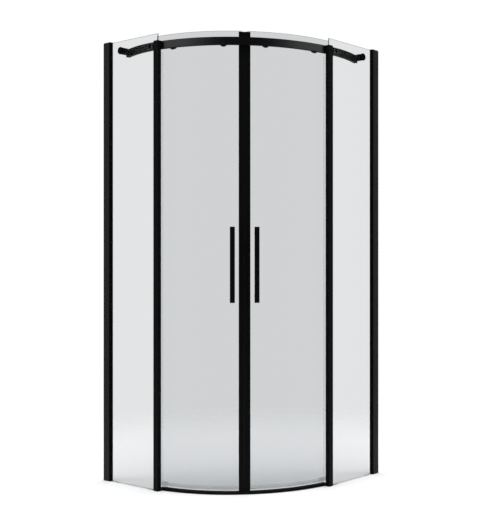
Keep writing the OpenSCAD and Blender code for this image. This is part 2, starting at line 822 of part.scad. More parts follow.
wall_channel();  // wall_channel_left
right_side() wall_channel();  // wall_channel_right
glass_profile();  // glass_profile_left
right_side() glass_profile();  // glass_profile_right
glazing_gasket();  // glazing_gasket_left
right_side() glazing_gasket();  // glazing_gasket_right
both_sides() profile_cap();  // profile_caps
both_sides() clamp_screw_set();  // clamp_screws
fixed_glass();  // fixed_glass_left
right_side() fixed_glass();  // fixed_glass_right
both_sides() setting_pad_pair();  // setting_pads
post();  // post_left
right_side() post();  // post_right
both_sides() post_cap();  // post_caps
post_lip();  // post_lip_left
right_side() post_lip();  // post_lip_right
top_rail();
both_sides() rail_end_cap();  // rail_end_caps
both_sides() door_stop();  // door_stops
both_sides() rail_bracket();  // rail_brackets
both_sides() bracket_pad();  // bracket_pads
both_sides() rail_screw_pair();  // rail_screws
standoff_tube();  // standoff_tube_left
right_side() standoff_tube();  // standoff_tube_right
both_sides() standoff_cap();  // standoff_caps
both_sides() standoff_bolt();  // standoff_bolts
both_sides() standoff_washer_pair();  // standoff_washers
threshold();
both_sides() threshold_end_block();  // threshold_end_blocks
both_sides() door_guide();  // door_guides
door_glass();  // door_glass_left
edge_profile();  // edge_profile_left
magnet_strip();  // magnet_strip_left
rear_seal();  // rear_seal_left
drip_seal();  // drip_seal_left
handle_bar();  // handle_bar_left
handle_posts();  // handle_posts_left
handle_bolts();  // handle_bolts_left
roller_bodies();  // roller_bodies_left
roller_caps();  // roller_caps_left
roller_axles();  // roller_axles_left
guide_shoe();  // guide_shoe_left
roller_wheel(front_roller);  // front_wheel_left
roller_wheel(rear_roller);  // rear_wheel_left
right_side() door_glass();  // door_glass_right
right_side() edge_profile();  // edge_profile_right
right_side() magnet_strip();  // magnet_strip_right
right_side() rear_seal();  // rear_seal_right
right_side() drip_seal();  // drip_seal_right
right_side() handle_bar();  // handle_bar_right
right_side() handle_posts();  // handle_posts_right
right_side() handle_bolts();  // handle_bolts_right
right_side() roller_bodies();  // roller_bodies_right
right_side() roller_caps();  // roller_caps_right
right_side() roller_axles();  // roller_axles_right
right_side() guide_shoe();  // guide_shoe_right
right_side() roller_wheel(front_roller);  // front_wheel_right
right_side() roller_wheel(rear_roller);  // rear_wheel_right
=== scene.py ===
import math

import bmesh
import bpy
from mathutils import Matrix, Vector


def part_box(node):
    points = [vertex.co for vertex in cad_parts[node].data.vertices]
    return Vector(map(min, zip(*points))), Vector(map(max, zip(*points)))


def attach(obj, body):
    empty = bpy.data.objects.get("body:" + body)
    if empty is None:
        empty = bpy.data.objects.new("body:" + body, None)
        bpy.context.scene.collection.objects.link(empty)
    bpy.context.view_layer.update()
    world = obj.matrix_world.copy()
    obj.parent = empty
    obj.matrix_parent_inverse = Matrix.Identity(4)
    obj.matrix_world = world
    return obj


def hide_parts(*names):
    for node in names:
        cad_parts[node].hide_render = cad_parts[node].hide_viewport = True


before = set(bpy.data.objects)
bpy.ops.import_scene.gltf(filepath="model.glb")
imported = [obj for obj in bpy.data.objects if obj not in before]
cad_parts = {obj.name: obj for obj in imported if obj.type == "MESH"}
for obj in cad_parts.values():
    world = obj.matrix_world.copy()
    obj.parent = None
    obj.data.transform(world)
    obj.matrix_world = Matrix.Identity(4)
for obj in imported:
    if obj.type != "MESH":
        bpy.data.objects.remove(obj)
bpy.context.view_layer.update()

# Wall channels.
# Each is an open U of extruded aluminium, powder-coated black, and is screwed to the wall
# through its back. Clamping screws pass through its inner side.
MM = 0.001
SIDE = 900
SIDES = ("left", "right")
MIRROR = Matrix(((0, -1, 0, 0), (-1, 0, 0, 0), (0, 0, 1, 0), (0, 0, 0, 1)))
SCREW_HEIGHTS = (200, 1000, 1800)
CHANNEL = {
    "width": 39, "depth": 20, "wall": 1.6, "hole_radius": 3, "clamp_radius": 2.1,
    "clamp_at": 23.4, "clamp_lift": 50, "drill": 4,
}
GLASS = 6
# Edges that turn more than this, in degrees, are shaded sharp.
SHARP_ANGLE = 28
# Widths, in mm, of the rounding on each kind of piece.
ROUND = {
    "channel": 0.35, "profile": 0.45, "profile_cap": 0.5, "post": 0.5, "post_cap": 0.4,
    "rail": 0.6, "rail_plug": 0.7, "bracket": 0.6, "sill": 0.5, "sill_block": 0.8,
    "edge": 0.5, "seal": 0.25, "guide": 1.4, "handle": 0.8, "arris": 0.6,
}
# Sides of a turned piece: a hexagon, a small drilled hole, a screw or drill, a large piece.
HEXAGON, SMALL, MEDIUM, LARGE = 6, 24, 32, 64


def linear(hex_colour):
    """An sRGB hex colour as the linear RGBA that shaders take."""
    parts = [int(hex_colour[i : i + 2], 16) / 255 for i in (1, 3, 5)]
    return [p / 12.92 if p <= 0.04045 else ((p + 0.055) / 1.055) ** 2.4 for p in parts] + [1]


def add(tree, kind, settings, links=()):
    """A shader node with its settings, and its links as (input, output) pairs."""
    node = tree.nodes.new(kind)
    for name, value in settings.items():
        if name in node.inputs:
            node.inputs[name].default_value = value
        else:
            setattr(node, name, value)
    for name, output in links:
        tree.links.new(output, node.inputs[name])
    return node


def new_material(name):
    """An empty material with its tree and its output node."""
    material = bpy.data.materials.new(name)
    material.use_nodes = True
    material.node_tree.nodes.clear()
    return material, material.node_tree, add(material.node_tree, "ShaderNodeOutputMaterial", {})


def at_pane(s, d, z):
    """A point at the left pane: s mm from the wall, d mm inwards from the outer face, z mm up."""
    return Vector((s - SIDE / 2, d - SIDE / 2, z)) * MM


def soften(shape, width, segments=2, sharp=30):
    """Rounds every edge that turns more than the sharp angle, by a width in mm."""
    edges = [
        e
        for e in shape.edges
        if len(e.link_faces) == 2 and e.calc_face_angle() > math.radians(sharp)
    ]
    bmesh.ops.bevel(
        shape, geom=edges, offset=width * MM, offset_type="OFFSET", segments=segments,
        profile=0.5, affect="EDGES", clamp_overlap=True, material=-1,
    )
    return shape


def drawn(corners, along):
    """A closed shape: a flat outline given by its corners, drawn along a vector."""
    shape = bmesh.new()
    face = shape.faces.new([shape.verts.new(c) for c in corners])
    grown = bmesh.ops.extrude_face_region(shape, geom=[face])["geom"]
    moved = [g for g in grown if isinstance(g, bmesh.types.BMVert)]
    bmesh.ops.translate(shape, vec=along, verts=moved)
    bmesh.ops.recalc_face_normals(shape, faces=shape.faces)
    return shape


def extruded(outline, z0, z1, rounding):
    """An upright profile at the left pane, from its outline of (s, d) points in mm."""
    corners = [at_pane(s, d, z0) for s, d in outline]
    return soften(drawn(corners, (0, 0, (z1 - z0) * MM)), rounding)


def turned(outline, place, steps=48):
    """A turned shape: (height, radius) points in mm spun about its axis, then placed."""
    shape = bmesh.new()
    verts = [shape.verts.new((r * MM, 0, h * MM)) for h, r in outline]
    edges = [shape.edges.new(pair) for pair in zip(verts, verts[1:])]
    bmesh.ops.spin(
        shape, geom=verts + edges, cent=(0, 0, 0), axis=(0, 0, 1), angle=2 * math.pi,
        steps=steps, use_merge=True,
    )
    bmesh.ops.remove_doubles(shape, verts=shape.verts, dist=0.001 * MM)
    bmesh.ops.recalc_face_normals(shape, faces=shape.faces)
    bmesh.ops.transform(shape, matrix=place, verts=shape.verts)
    return shape


def disc(radius, thick, place, steps=MEDIUM):
    """A plain disc, used as a drill."""
    return turned([(0, 0), (0, radius), (thick, radius), (thick, 0)], place, steps)


def across_pane(s, d, z):
    """Places a turned piece so that its foot is at a point of the left pane, pointing inwards."""
    return Matrix.Translation(at_pane(s, d, z)) @ Matrix.Rotation(-math.pi / 2, 4, "X")


def joined(shapes):
    """Several shapes as one."""
    whole = bmesh.new()
    for shape in shapes:
        part = bpy.data.meshes.new("part")
        shape.to_mesh(part)
        shape.free()
        whole.from_mesh(part)
        bpy.data.meshes.remove(part)
    return whole


def cut(shape, cutters):
    """The shape less its cutters."""
    parts = []
    for bm in (shape, joined(cutters)):
        mesh = bpy.data.meshes.new("part")
        bm.to_mesh(mesh)
        bm.free()
        parts.append(bpy.data.objects.new("part", mesh))
        bpy.context.scene.collection.objects.link(parts[-1])
    boolean = parts[0].modifiers.new("cut", "BOOLEAN")
    boolean.operation = "DIFFERENCE"
    boolean.solver = "EXACT"
    boolean.object = parts[1]
    done = parts[0].evaluated_get(bpy.context.evaluated_depsgraph_get()).to_mesh()
    result = bmesh.new()
    result.from_mesh(done)
    for part in parts:
        bpy.data.meshes.remove(part.data)
    return result


def mirrored(shape):
    """The same piece for the right side."""
    bmesh.ops.transform(shape, matrix=MIRROR, verts=shape.verts)
    bmesh.ops.reverse_faces(shape, faces=shape.faces)
    return shape


def fit(name, shape, materials, body, replaced):
    """Makes the shape a piece that rides on a body and stands for CAD nodes."""
    mesh = bpy.data.meshes.new(name)
    shape.to_mesh(mesh)
    shape.free()
    for material in materials:
        mesh.materials.append(material)
    mesh.polygons.foreach_set("use_smooth", [True] * len(mesh.polygons))
    mesh.set_sharp_from_angle(angle=math.radians(SHARP_ANGLE))
    obj = bpy.data.objects.new(name, mesh)
    bpy.context.scene.collection.objects.link(obj)
    flat = obj.modifiers.new("flat_faces_stay_flat", "WEIGHTED_NORMAL")
    flat.keep_sharp = True
    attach(obj, body)
    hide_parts(*replaced)
    return obj


def dress(material, *names):
    """Gives CAD nodes, whose shape is right as it is, their finish."""
    for name in names:
        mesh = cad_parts[name].data
        mesh.materials.clear()
        mesh.materials.append(material)
        mesh.polygons.foreach_set("use_smooth", [True] * len(mesh.polygons))
        mesh.set_sharp_from_angle(angle=math.radians(SHARP_ANGLE))


# Powder-coated aluminium: the black coat has the fine, soft grain of melted powder. The
# grains of all materials are given in mm, coarser than real, so that they show.
COAT_GRAIN = 0.9
RUBBER_GRAIN = 0.6
MOULD_GRAIN = 0.7
STEEL_GRAIN = 0.5
GROUND_GRAIN = 0.5
FLOW_GRAIN = 1


def powder_coated(name, colour, roughness, specular=0.05):
    """Matt powder coat: a fine grain in relief and gloss, and a slow change of tone."""
    material, tree, out = new_material(name)
    place = add(tree, "ShaderNodeTexCoord", {}).outputs["Object"]
    grain = add(
        tree, "ShaderNodeTexNoise", {"Scale": 1 / (COAT_GRAIN * MM), "Detail": 2.0},
        [("Vector", place)],
    ).outputs["Fac"]
    cloud = add(
        tree, "ShaderNodeTexNoise", {"Scale": 9.0, "Detail": 3.0}, [("Vector", place)]
    ).outputs["Fac"]
    shade = add(tree, "ShaderNodeValToRGB", {}, [("Fac", cloud)])
    dark, light = (tuple(c * k for c in linear(colour)[:3]) + (1,) for k in (0.85, 1.15))
    shade.color_ramp.elements[0].color = dark
    shade.color_ramp.elements[1].color = light
    gloss = add(
        tree, "ShaderNodeMapRange",
        {"To Min": roughness - 0.06, "To Max": roughness + 0.06}, [("Value", grain)],
    ).outputs["Result"]
    relief = add(
        tree, "ShaderNodeBump", {"Strength": 0.3, "Distance": 0.02 * MM},
        [("Height", grain)],
    ).outputs["Normal"]
    surface = add(
        tree, "ShaderNodeBsdfPrincipled", {"IOR": 1.5, "Specular IOR Level": specular},
        [("Base Color", shade.outputs["Color"]), ("Roughness", gloss), ("Normal", relief)],
    )
    tree.links.new(surface.outputs["BSDF"], out.inputs["Surface"])
    return material


satin_black = powder_coated("satin_black_powder_coat", "#1b1b1b", 0.42, 0.1)
CHANNEL_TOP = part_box("wall_channel_left")[1].z / MM

for side in SIDES:
    w, d, t = CHANNEL["width"], CHANNEL["depth"], CHANNEL["wall"]
    outline = [(0, 0), (w, 0), (w, t), (t, t), (t, d - t), (w, d - t), (w, d), (0, d)]
    channel = extruded(outline, 0, CHANNEL_TOP, ROUND["channel"])
    drills = []
    for z in SCREW_HEIGHTS:
        back = Matrix.Translation(at_pane(-1, d / 2, z)) @ Matrix.Rotation(math.pi / 2, 4, "Y")
        drills.append(disc(CHANNEL["hole_radius"], CHANNEL["drill"], back, SMALL))
        clamp = across_pane(CHANNEL["clamp_at"], d - t - 1, z + CHANNEL["clamp_lift"])
        drills.append(disc(CHANNEL["clamp_radius"], CHANNEL["drill"], clamp, SMALL))
    channel = cut(channel, drills)
    if side == "right":
        mirrored(channel)
    fit(
        f"{side}_wall_channel", channel, [satin_black], "frame",
        [f"wall_channel_{side}"],
    )

# Glass profiles.
# Each is an extruded H that slides in its channel to take up an uneven wall. Its front half
# holds the glass. It keeps a narrow pocket for the gasket. It has the same coat as the channel,
# but its colour is painted darker, as painted shade of the profile's recess.
# Near-black, darker than the real coat: painted shade of the recessed glass profile. The
# stand-offs use it too.
shade_darkened_black = powder_coated("shade_darkened_black_powder_coat", "#040404", 0.38, 0.03)
PROFILE = {"back": 8, "reach": 47, "web": 31, "side": 1.8, "wall": 1.6}
GLAZING = (5.8, 14.2)

for side in SIDES:
    back, reach, web = PROFILE["back"], PROFILE["reach"], PROFILE["web"]
    outer, inner = PROFILE["side"], CHANNEL["depth"] - PROFILE["side"]
    hollow = web - PROFILE["wall"]
    low, high = outer + PROFILE["wall"], inner - PROFILE["wall"]
    outline = [
        (back, outer), (reach, outer), (reach, GLAZING[0]), (web, GLAZING[0]),
        (web, GLAZING[1]), (reach, GLAZING[1]), (reach, inner), (back, inner),
        (back, high), (hollow, high), (hollow, low), (back, low),
    ]
    profile = extruded(outline, 0, CHANNEL_TOP, ROUND["profile"])
    if side == "right":
        mirrored(profile)
    fit(
        f"{side}_glass_profile", profile, [shade_darkened_black], "frame",
        [f"glass_profile_{side}"],
    )

# Glazing gaskets, stand-off washers, bracket pads and door stops.
# All are extruded or moulded EPDM rubber, pushed into their grooves or pressed in place.
# EPDM is a dull, nearly black rubber with a fine dry grain.


def rubber(name, colour):
    """EPDM rubber with a fine dry grain."""
    material, tree, out = new_material(name)
    place = add(tree, "ShaderNodeTexCoord", {}).outputs["Object"]
    grain = add(
        tree, "ShaderNodeTexNoise", {"Scale": 1 / (RUBBER_GRAIN * MM), "Detail": 3.0},
        [("Vector", place)],
    ).outputs["Fac"]
    gloss = add(
        tree, "ShaderNodeMapRange", {"To Min": 0.55, "To Max": 0.8}, [("Value", grain)]
    ).outputs["Result"]
    relief = add(
        tree, "ShaderNodeBump", {"Strength": 0.4, "Distance": 0.03 * MM},
        [("Height", grain)],
    ).outputs["Normal"]
    surface = add(
        tree, "ShaderNodeBsdfPrincipled",
        {"Base Color": linear(colour), "IOR": 1.5, "Specular IOR Level": 0.25},
        [("Roughness", gloss), ("Normal", relief)],
    )
    tree.links.new(surface.outputs["BSDF"], out.inputs["Surface"])
    return material


epdm = rubber("black_epdm_rubber", "#0d0d0d")
dress(
    epdm, "glazing_gasket_left", "glazing_gasket_right", "standoff_washers",
    "bracket_pads", "door_stops",
)

# Caps on the wall profiles.
# Each is a moulded black ABS plug over the ends of channel and profile. Its corner beside
# the wall is rounded. ABS from a spark-eroded mould has a fine matt grain.


def moulded(name, colour, roughness):
    """Moulded plastic with the grain of a spark-eroded mould."""
    material, tree, out = new_material(name)
    place = add(tree, "ShaderNodeTexCoord", {}).outputs["Object"]
    grain = add(
        tree, "ShaderNodeTexVoronoi", {"Scale": 1 / (MOULD_GRAIN * MM)}, [("Vector", place)]
    ).outputs["Distance"]
    cloud = add(
        tree, "ShaderNodeTexNoise", {"Scale": 40.0, "Detail": 2.0}, [("Vector", place)]
    ).outputs["Fac"]
    gloss = add(
        tree, "ShaderNodeMapRange",
        {"To Min": roughness - 0.08, "To Max": roughness + 0.08}, [("Value", cloud)],
    ).outputs["Result"]
    relief = add(
        tree, "ShaderNodeBump", {"Strength": 0.3, "Distance": 0.03 * MM},
        [("Height", grain)],
    ).outputs["Normal"]
    surface = add(
        tree, "ShaderNodeBsdfPrincipled",
        {"Base Color": linear(colour), "IOR": 1.54, "Specular IOR Level": 0.25},
        [("Roughness", gloss), ("Normal", relief)],
    )
    tree.links.new(surface.outputs["BSDF"], out.inputs["Surface"])
    return material


abs_black = moulded("black_moulded_abs", "#141414", 0.45)
CAP_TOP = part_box("profile_caps")[1].z / MM
# The cap's clearance to the wall, its corner radius, and the corner's facets in degrees.
CAP = {"back": 0.4, "round": 6, "facet": 17, "facets": 5}


def profile_cap():
    """The cap's side view, drawn across the depth of the channel."""
    r, reach = CAP["round"], PROFILE["reach"]
    side_view = [(CAP["back"], CHANNEL_TOP), (reach, CHANNEL_TOP), (reach, CAP_TOP)]
    for step in range(CAP["facets"]):
        turn = math.radians(90 + step * CAP["facet"])
        side_view.append((r + r * math.cos(turn), CAP_TOP - r * (1 - math.sin(turn))))
    corners = [at_pane(s, 0, z) for s, z in side_view]
    return soften(drawn(corners, (0, CHANNEL["depth"] * MM, 0)), ROUND["profile_cap"])


fit(
    "wall_profile_caps", joined([profile_cap(), mirrored(profile_cap())]), [abs_black],
    "frame", ["profile_caps"],
)

# Clamping screws.
# Button-head screws of blackened stainless steel, driven from inside the enclosure to lock
# the glass profile in its channel.


def steel(name, colour, roughness):
    """Steel with a faint grain in its gloss."""
    material, tree, out = new_material(name)
    place = add(tree, "ShaderNodeTexCoord", {}).outputs["Object"]
    fine = add(
        tree, "ShaderNodeTexNoise", {"Scale": 1 / (STEEL_GRAIN * MM), "Detail": 1.0},
        [("Vector", place)],
    ).outputs["Fac"]
    gloss = add(
        tree, "ShaderNodeMapRange",
        {"To Min": roughness - 0.06, "To Max": roughness + 0.06}, [("Value", fine)],
    ).outputs["Result"]
    surface = add(
        tree, "ShaderNodeBsdfPrincipled", {"Base Color": linear(colour), "Metallic": 1.0},
        [("Roughness", gloss)],
    )
    tree.links.new(surface.outputs["BSDF"], out.inputs["Surface"])
    return material


black_steel = steel("blackened_stainless_steel", "#2e2e2e", 0.32)
SCREW = {
    "shank": 4.4, "shank_radius": 2, "head": 1.6, "head_radius": 4, "socket": 1.5,
    "socket_depth": 1,
}
# The head's dome as shares of its height and of its radius.
HEAD_DOME = [(0, 1), (0.3, 1), (0.72, 0.84), (0.93, 0.6), (1, 0.42), (1, 0)]


def button_screw(place):
    """A button-head screw with a hexagon socket; the shank points back from the head."""
    shank, thin = SCREW["shank"], SCREW["shank_radius"]
    r, h, across = SCREW["head_radius"], SCREW["head"], SCREW["socket"]
    outline = [(-shank, 0), (-shank, thin), (0, thin)]
    outline += [(up * h, out * r) for up, out in HEAD_DOME]
    screw = turned(outline, Matrix.Identity(4), MEDIUM)
    deep = h - SCREW["socket_depth"]
    socket = turned(
        [(deep, 0), (deep, across), (h + 1, across), (h + 1, 0)], Matrix.Identity(4), HEXAGON
    )
    screw = cut(screw, [socket])
    bmesh.ops.transform(screw, matrix=place, verts=screw.verts)
    return screw


screws = []
for z in SCREW_HEIGHTS:
    for flip in (False, True):
        place = across_pane(CHANNEL["clamp_at"], CHANNEL["depth"], z + CHANNEL["clamp_lift"])
        screw = button_screw(place)
        screws.append(mirrored(screw) if flip else screw)
fit(
    "profile_clamp_screws", joined(screws), [black_steel], "frame",
    ["clamp_screws"],
)

# Fixed panes.
# Flat toughened glass, 6 mm, cut, ground and then toughened, with the hole for the
# stand-off's bolt. Its arrises are ground, so the edges look darker and frosted. Its faces
# reflect as weakly as in the photo, so their index is set lower than that of real glass.
PANE = {"start": 32.2, "end": 361.8, "outer": 7, "inner": 13, "foot": 3}
# Faces that look this squarely through the pane are clear, the others are ground edge.
SQUARELY = 0.9
standoff_mid = sum(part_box("standoff_tube_left"), Vector()) / 2 / MM
STANDOFF_AT = standoff_mid.x + SIDE / 2
BOLT_HOLE = 6


def float_glass(name, tint):
    """Toughened float glass, nearly clear, that lets light through instead of shading it."""
    material, tree, out = new_material(name)
    place = add(tree, "ShaderNodeTexCoord", {}).outputs["Object"]
    wave = add(
        tree, "ShaderNodeTexNoise", {"Scale": 5.0, "Detail": 0.0}, [("Vector", place)]
    ).outputs["Fac"]
    relief = add(
        tree, "ShaderNodeBump", {"Strength": 0.12, "Distance": 0.4 * MM},
        [("Height", wave)],
    ).outputs["Normal"]
    surface = add(
        tree, "ShaderNodeBsdfPrincipled",
        {
            "Base Color": linear(tint), "Roughness": 0.0, "IOR": 1.2,
            "Specular Tint": linear("#606060"), "Transmission Weight": 1.0,
        },
        [("Normal", relief)],
    )
    clear = add(tree, "ShaderNodeBsdfTransparent", {"Color": linear(tint)})
    shadow = add(tree, "ShaderNodeLightPath", {}).outputs["Is Shadow Ray"]
    mix = add(tree, "ShaderNodeMixShader", {}, [("Fac", shadow)])
    tree.links.new(surface.outputs["BSDF"], mix.inputs[1])
    tree.links.new(clear.outputs["BSDF"], mix.inputs[2])
    tree.links.new(mix.outputs["Shader"], out.inputs["Surface"])
    return material


def ground_edge(name, colour):
    """The ground edge of a pane: frosted and grey-green, with the grinder's fine grain."""
    material, tree, out = new_material(name)
    place = add(tree, "ShaderNodeTexCoord", {}).outputs["Object"]
    grain = add(
        tree, "ShaderNodeTexNoise", {"Scale": 1 / (GROUND_GRAIN * MM), "Detail": 2.0},
        [("Vector", place)],
    ).outputs["Fac"]
    gloss = add(
        tree, "ShaderNodeMapRange", {"To Min": 0.3, "To Max": 0.5}, [("Value", grain)]
    ).outputs["Result"]
    surface = add(
        tree, "ShaderNodeBsdfPrincipled",
        {"Base Color": linear(colour), "IOR": 1.5, "Transmission Weight": 0.35},
        [("Roughness", gloss)],
    )
    tree.links.new(surface.outputs["BSDF"], out.inputs["Surface"])
    return material


pane_glass = float_glass("toughened_pane_glass", "#e4e5e6")
glass_edge = ground_edge("ground_glass_edge", "#7b838a")

for side in SIDES:
    rectangle = [
        (PANE["start"], PANE["outer"]), (PANE["end"], PANE["outer"]),
        (PANE["end"], PANE["inner"]), (PANE["start"], PANE["inner"]),
    ]
    pane = extruded(rectangle, PANE["foot"], CHANNEL_TOP, ROUND["arris"])
    hole = across_pane(STANDOFF_AT, PANE["outer"] - 1, standoff_mid.z)
    pane = cut(pane, [disc(BOLT_HOLE, GLASS + 2, hole)])
    for face in pane.faces:
        face.material_index = 0 if abs(face.normal.y) > SQUARELY else 1
    if side == "right":
        mirrored(pane)
    fit(
        f"{side}_fixed_pane", pane, [pane_glass, glass_edge], "frame",
        [f"fixed_glass_{side}"],
    )

# Posts.
# Each is an extruded aluminium profile that grips the front edge of a pane, with a closed
# chamber in its nose and a groove for the clear lip. Its coat is darker.
fine_black = powder_coated("fine_black_powder_coat", "#0a0a0a", 0.42)
POST = {"back": 342, "front": 370, "pocket": 21, "wall": 2, "cap": 2, "roof": 3}
LIP = {"at": 351, "width": 4, "depth": 2.4}
rail_low, rail_high = (v.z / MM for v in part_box("top_rail"))
POST_TOP = rail_high
seat = POST["back"] + POST["pocket"]

for side in SIDES:
    back, front, depth = POST["back"], POST["front"], CHANNEL["depth"]
    outline = [
        (back, 0), (front, 0), (front, depth), (LIP["at"] + LIP["width"], depth),
        (LIP["at"] + LIP["width"], depth - LIP["depth"]), (LIP["at"], depth - LIP["depth"]),
        (LIP["at"], depth), (back, depth), (back, GLAZING[1]), (seat, GLAZING[1]),
        (seat, GLAZING[0]), (back, GLAZING[0]),
    ]
    post = extruded(outline, 0, POST_TOP - POST["cap"], ROUND["post"])
    t, below = POST["wall"], POST["cap"] + POST["roof"]
    room = [(seat + t, t), (front - t, t), (front - t, depth - t), (seat + t, depth - t)]
    chamber = drawn([at_pane(s, d, -below) for s, d in room], (0, 0, POST_TOP * MM))
    post = cut(post, [chamber])
    if side == "right":
        mirrored(post)
    fit(f"{side}_post", post, [fine_black], "frame", [f"post_{side}"])


def post_cap():
    """A thin plug over the post, slotted where the glass passes."""
    outline = [
        (POST["back"], 0), (POST["front"], 0), (POST["front"], CHANNEL["depth"]),
        (POST["back"], CHANNEL["depth"]), (POST["back"], GLAZING[1]), (seat, GLAZING[1]),
        (seat, GLAZING[0]), (POST["back"], GLAZING[0]),
    ]
    return extruded(outline, POST_TOP - POST["cap"], POST_TOP, ROUND["post_cap"])


fit(
    "post_end_caps", joined([post_cap(), mirrored(post_cap())]), [abs_black], "frame",
    ["post_caps"],
)

# Top rail.
# One aluminium C section, rolled to the arc of the doors and coated, open towards the
# doors, with lips that keep the wheels in. Its ends run on behind the fixed panes. Its coat
# is dark and a little glossy, so that it mirrors the light and dark sides of the room.
ARC = Vector((-157, 157, 0))
SEAM = -45
TANGENT = -90
RAIL = {"outer": 588.74, "inner": 570.74, "wall": 2.2, "lip": 4, "past": 19}
rolled_black = powder_coated("rolled_black_powder_coat", "#090909", 0.26, 0.5)


def on_arc(radius, angle, z):
    """A point at a radius in mm and an angle in degrees about the arc's axis."""
    turn = math.radians(angle)
    return (ARC + Vector((radius * math.cos(turn), radius * math.sin(turn), z))) * MM


def rolled(section, start, end, rounding, step=1.0):
    """A section of (radius, height) points in mm, spun about the arc's axis in degrees."""
    shape = bmesh.new()
    face = shape.faces.new([shape.verts.new(on_arc(r, start, z)) for r, z in section])
    bmesh.ops.spin(
        shape, geom=[face] + list(face.edges) + list(face.verts), cent=ARC * MM,
        axis=(0, 0, 1), angle=math.radians(end - start),
        steps=max(1, round(abs(end - start) / step)),
    )
    bmesh.ops.recalc_face_normals(shape, faces=shape.faces)
    return soften(shape, rounding) if rounding else shape


r0, r1, t = RAIL["inner"], RAIL["outer"], RAIL["wall"]
z0, z1 = rail_low, rail_high
lip_low, lip_high = z0 + t + RAIL["lip"], z1 - t - RAIL["lip"]
section = [
    (r0, z0), (r1, z0), (r1, z1), (r0, z1), (r0, lip_high), (r0 + t, lip_high),
    (r0 + t, z1 - t), (r1 - t, z1 - t), (r1 - t, z0 + t), (r0 + t, z0 + t),
    (r0 + t, lip_low), (r0, lip_low),
]
rail_start = TANGENT - RAIL["past"]
rail = rolled(section, rail_start, RAIL["past"], ROUND["rail"])
fit("top_rail_track", rail, [rolled_black], "frame", ["top_rail"])

# Thickness of the plugs in the rail's ends, in degrees.
RAIL_CAP = 0.195
ends = []
for flip in (False, True):
    section = [(r0, z0), (r1, z0), (r1, z1), (r0, z1)]
    end = rolled(section, rail_start - RAIL_CAP, rail_start, ROUND["rail_plug"])
    ends.append(mirrored(end) if flip else end)
fit("rail_end_plugs", joined(ends), [abs_black], "frame", ["rail_end_caps"])

# Rail brackets and rail screws.
# A dark grey coated aluminium block spaces the rail from each fixed pane, beside the post, and
# flat-headed screws inside the rail hold post, bracket and rail together.
grey_aluminium = powder_coated("grey_powder_coat", "#3a3a39", 0.4)
LONG_EDGE = 3
STEEP_EDGE = 40


def smooth_copy(node, width):
    """A CAD node's own shape, merged and with its long, steep edges rounded."""
    shape = bmesh.new()
    shape.from_mesh(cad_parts[node].data)
    bmesh.ops.remove_doubles(shape, verts=shape.verts, dist=0.01 * MM)
    bmesh.ops.dissolve_limit(
        shape, angle_limit=math.radians(1), verts=shape.verts, edges=shape.edges,
        delimit={"NORMAL"},
    )
    long_edges = [
        e
        for e in shape.edges
        if len(e.link_faces) == 2
        and e.calc_length() > LONG_EDGE * MM
        and e.calc_face_angle() > math.radians(STEEP_EDGE)
    ]
    bmesh.ops.bevel(
        shape, geom=long_edges, offset=width * MM, offset_type="OFFSET", segments=2,
        profile=0.5, affect="EDGES", clamp_overlap=True, material=-1,
    )
    return shape


fit(
    "rail_spacer_brackets", smooth_copy("rail_brackets", ROUND["bracket"]), [grey_aluminium],
    "frame", ["rail_brackets"],
)
dress(black_steel, "rail_screws", "standoff_bolts")

# Stand-offs.
# A turned tube from each fixed pane holds the end of the rail. Its outer cap with a rounded
# rim clamps the glass, and the bolt runs through cap, glass and tube into the rail.
STANDOFF = {
    "radius": 15.5, "bore": 11.5, "rim": 0.6, "run": 80, "cap_radius": 16.5, "washer": 1,
}
# The cap's dome as heights and shares of its radius.
STANDOFF_DOME = [(0, 0), (0, 0.55), (0.25, 0.72), (0.8, 0.86), (1.7, 0.955), (3, 1)]
# How far the block that cuts the tube's end to the rail's curve stands past the rail.
COPE = 40


def standoff_cap():
    """The turned cap outside the glass; its face and rim are domed."""
    r, high = STANDOFF["cap_radius"], PANE["outer"] - STANDOFF["washer"]
    dome = [(up, out * r) for up, out in STANDOFF_DOME] + [(high, r), (high, 0)]
    return turned(dome, across_pane(STANDOFF_AT, 0, standoff_mid.z))


fit(
    "standoff_end_caps", joined([standoff_cap(), mirrored(standoff_cap())]), [shade_darkened_black],
    "frame", ["standoff_caps"],
)
for side in SIDES:
    r, bore, rim, run = (STANDOFF[k] for k in ("radius", "bore", "rim", "run"))
    start = PANE["inner"] + STANDOFF["washer"]
    tube = turned(
        [(0, bore), (0, r - rim), (rim, r), (run, r), (run, bore), (0, bore)],
        across_pane(STANDOFF_AT, start, standoff_mid.z), LARGE,
    )
    rail_body = rolled(
        [(0, z0 - COPE), (r1, z0 - COPE), (r1, z1 + COPE), (0, z1 + COPE)],
        TANGENT - 50, TANGENT + 10, 0, 0.5,
    )
    tube = cut(tube, [rail_body])
    if side == "right":
        mirrored(tube)
    fit(
        f"{side}_standoff_tube", tube, [shade_darkened_black], "frame",
        [f"standoff_tube_{side}"],
    )

# Threshold.
# A low aluminium sill, rolled to the arc, with a sloping front and the groove that guides
# the doors' shoes. Moulded blocks close it against the posts. The rollers' sizes come first,
# because their bodies keep the doors away from the rail.
SILL = {"back": 4, "width": 32, "height": 10, "chamfer": 5, "groove": 6, "groove_depth": 7}
ROLLER = {
    "radius": 19, "body": 6, "cap": 7, "cap_radius": 15, "boss": 6.8, "bow": 0.3,
    "rail_gap": 1.2, "axle": 3.1, "axle_room": 1.5, "socket": 4.2, "socket_depth": 3.5,
    "foot_rim": 0.8, "rim": 1.2,
}
DOOR_OUT = RAIL["inner"] - ROLLER["rail_gap"] - ROLLER["body"]
DOOR_IN = DOOR_OUT - GLASS
DOOR_MID = (DOOR_OUT + DOOR_IN) / 2
sill_out = RAIL["outer"] - SILL["back"]
sill_in = sill_out - SILL["width"]
sill_end = TANGENT + math.degrees(math.asin((POST["back"] - SIDE / 2 - ARC.x) / DOOR_MID))
top, half = SILL["height"], SILL["groove"] / 2
